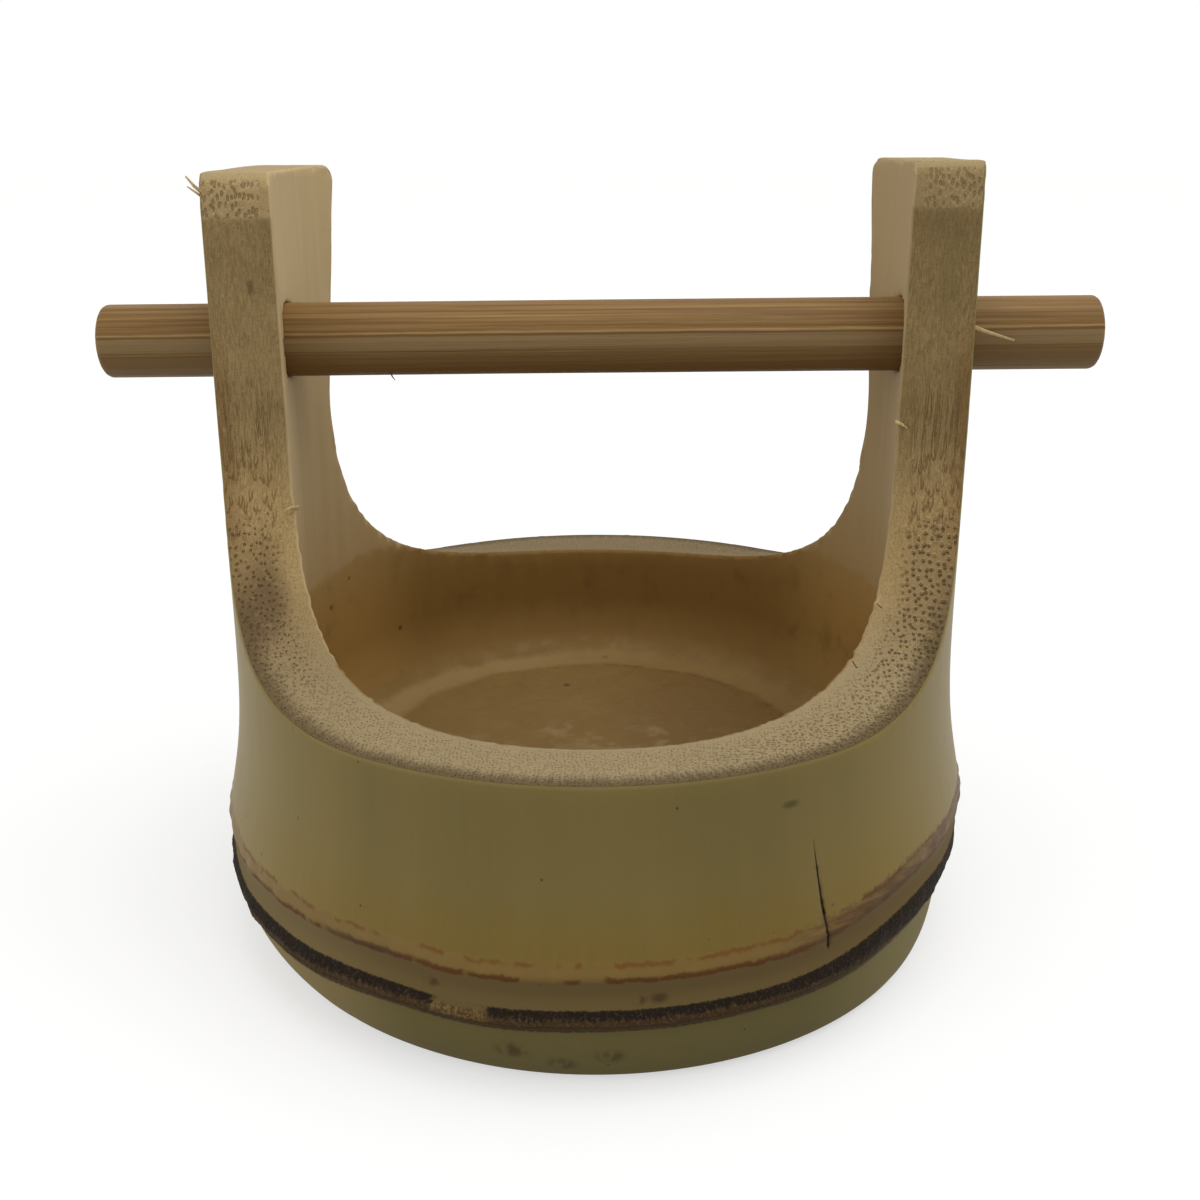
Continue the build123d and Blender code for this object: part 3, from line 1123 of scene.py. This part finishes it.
def dowel_material():
    """Golden bamboo with fibre lines along it, darker underneath, and fibre ends on its two faces."""
    g = piece_graph("bamboo_dowel")
    turn = g.maths("ARCTAN2", g.z - rod_middle.z - g.x * rod_axis.z, -g.y)
    side_y = g.maths("COSINE", turn) * rod_radius
    side_z = g.maths("SINE", turn) * rod_radius
    lines = g.noise(g.vector(g.x * 0.012, side_y, side_z), 2.4, 3, 0.7)
    broad = g.noise(g.vector(g.x * 0.01, side_y + 9, side_z), 0.5, 2)
    dashes = g.noise(g.vector(g.x * 0.09, side_y, side_z), 3.4, 2, 0.6)
    sway = g.noise(g.vector(g.x * 0.04, 0, 0), 1, 2) - 0.5
    degrees = turn * math.degrees(1) + sway * 5 + (dashes - 0.5) * 2 - g.x * 0.03
    colour = g.mix((144, 111, 61), (132, 99, 52), broad)
    colour.lay((114, 82, 40), g.step(0.47, 0.60, lines) * 0.75)
    colour.lay((168, 135, 83), g.step(0.43, 0.32, lines) * 0.5)
    colour.lay((134, 110, 73), g.band(-12, 12, 1.5, degrees) * 0.85)
    under = g.step(-12, -16, degrees) * g.step(-130, -90, degrees)
    colour.lay((118, 91, 52), under * 0.85)
    colour.lay((176, 146, 98), g.band(15.5, 18, 0.8, degrees) * 0.6)
    for angle, half_width, strength in rod_lines:
        line = g.band(angle - half_width, angle + half_width, 0.9, degrees)
        colour.lay((90, 60, 26), line * strength)
    half = (rod_length + rod_extra) / 2
    on_end = g.step(half - 0.3, half - 0.1, abs(g.x - rod_shift))
    dot, kind = g.cells(g.vector(g.y, g.z, 0), 1.5, "2D")
    end = g.mix((164, 136, 88), (104, 76, 40), g.step(0.4, 0.2, dot) * g.step(0.1, 0.5, kind))
    colour.lay(end, on_end)
    rough = g.blend(0.5, 0.66, lines)
    height = lines * 0.09 + dashes * 0.04
    return g.surface(colour, rough, height, 0.25)


# The photograph's camera, in millimetres and radians, with its focal length in pixels of a 1200 pixel frame
camera_place = Vector((2.3926, -155.6135, 88.2715))
camera_pitch = 0.325245
camera_yaw = -0.010795
camera_roll = 0.002862
focal_pixels = 1392.517
frame_pixels = 1200.0
sensor = 36.0


def make_camera():
    """The camera where the photograph was taken from."""
    data = bpy.data.cameras.new("camera")
    data.sensor_width = sensor
    data.lens = sensor * focal_pixels / frame_pixels
    data.clip_start = 0.01
    camera = add("camera", data)
    turned = Matrix.Rotation(-camera_yaw, 4, "Z") @ Matrix.Rotation(math.pi / 2 - camera_pitch, 4, "X")
    turned = turned @ Matrix.Rotation(-camera_roll, 4, "Z")
    camera.matrix_world = Matrix.Translation(camera_place * MM) @ turned
    scene.camera = camera


def shown_white(g):
    """1 for what the camera sees directly or in a reflection."""
    path = g.node("LightPath")
    names = ("Is Camera Ray", "Is Glossy Ray", "Is Transmission Ray")
    direct, mirrored, through = (Wire(g, path.outputs[name]) for name in names)
    return g.most(g.most(direct, mirrored), through)


# The light from all round, the floor, how much it is lifted near and far, and where the lamps point
white = (1.0, 1.0, 1.0, 1.0)
ambient_level = 0.52
floor_size = 6.0
floor_drop = 0.0002
floor_colour = (0.5, 0.5, 0.49, 1.0)
near_lift = 0.58
far_lift = 0.74
lamp_aim = Vector((0.0, 0.0, 0.04))


def make_world():
    """White to the eye, and an even grey light from all round."""
    scene.world = bpy.data.worlds.new("studio")
    g = Graph(scene.world)
    strength = {"Value": shown_white(g), "To Min": ambient_level, "To Max": 1.0}
    light = {"Color": white, "Strength": g.wire("MapRange", strength)}
    g.node("OutputWorld", {"Surface": g.wire("Background", light)})


def make_floor():
    """A white floor that keeps the bucket's shadow, lifted to white for the eye only, more so far off."""
    bpy.ops.mesh.primitive_plane_add(size=floor_size, location=(0.0, 0.0, -floor_drop))
    floor = bpy.context.object
    floor.name = "floor"
    g = Graph(bpy.data.materials.new("floor"))
    place = g.wire("TexCoord", output="Object")
    away = g.wire("VectorMath", {0: place}, "Value", operation="LENGTH")
    lift = {"Value": away, "From Min": 0.08, "From Max": 0.5, "To Min": near_lift, "To Max": far_lift}
    seen = g.wire("MapRange", lift) * shown_white(g)
    material = g.finish({"Base Color": floor_colour, "Roughness": 0.9, "Specular IOR Level": 0.0,
                         "Emission Color": white, "Emission Strength": seen})
    floor.data.materials.append(material)


def make_lamp(name, place, power, size):
    """A soft square lamp that faces the middle of the bucket."""
    data = bpy.data.lights.new(name, "AREA")
    data.energy = power
    data.size = size
    lamp = add(name, data)
    lamp.location = place
    lamp.rotation_euler = (lamp_aim - Vector(place)).to_track_quat("-Z", "Y").to_euler()


def dress(piece, body, node, material):
    """Gives a piece its material and its place on the frame, and hides the CAD node that it stands for, if
    any.
    """
    piece.data.materials.append(material)
    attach(piece, body)
    if node:
        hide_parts(node)


culm_look = culm_material()
dowel_look = dowel_material()
dress(make_cup(), "cup", "bamboo_cup", culm_look)
dress(make_rod(), "rod", "handle_rod", dowel_look)
for name, body, width, path in splinters:
    slot, look = ("bamboo_culm", culm_look) if body == "cup" else ("bamboo_dowel", dowel_look)
    dress(make_splinter(name, width, path), body, None, look)
make_camera()
make_world()
make_floor()
make_lamp("top_light", (0.12, -0.08, 0.53), 1.5, 0.5)
make_lamp("left_light", (-0.45, -0.30, 0.22), 0.5, 0.4)
scene.view_settings.view_transform = "Standard"
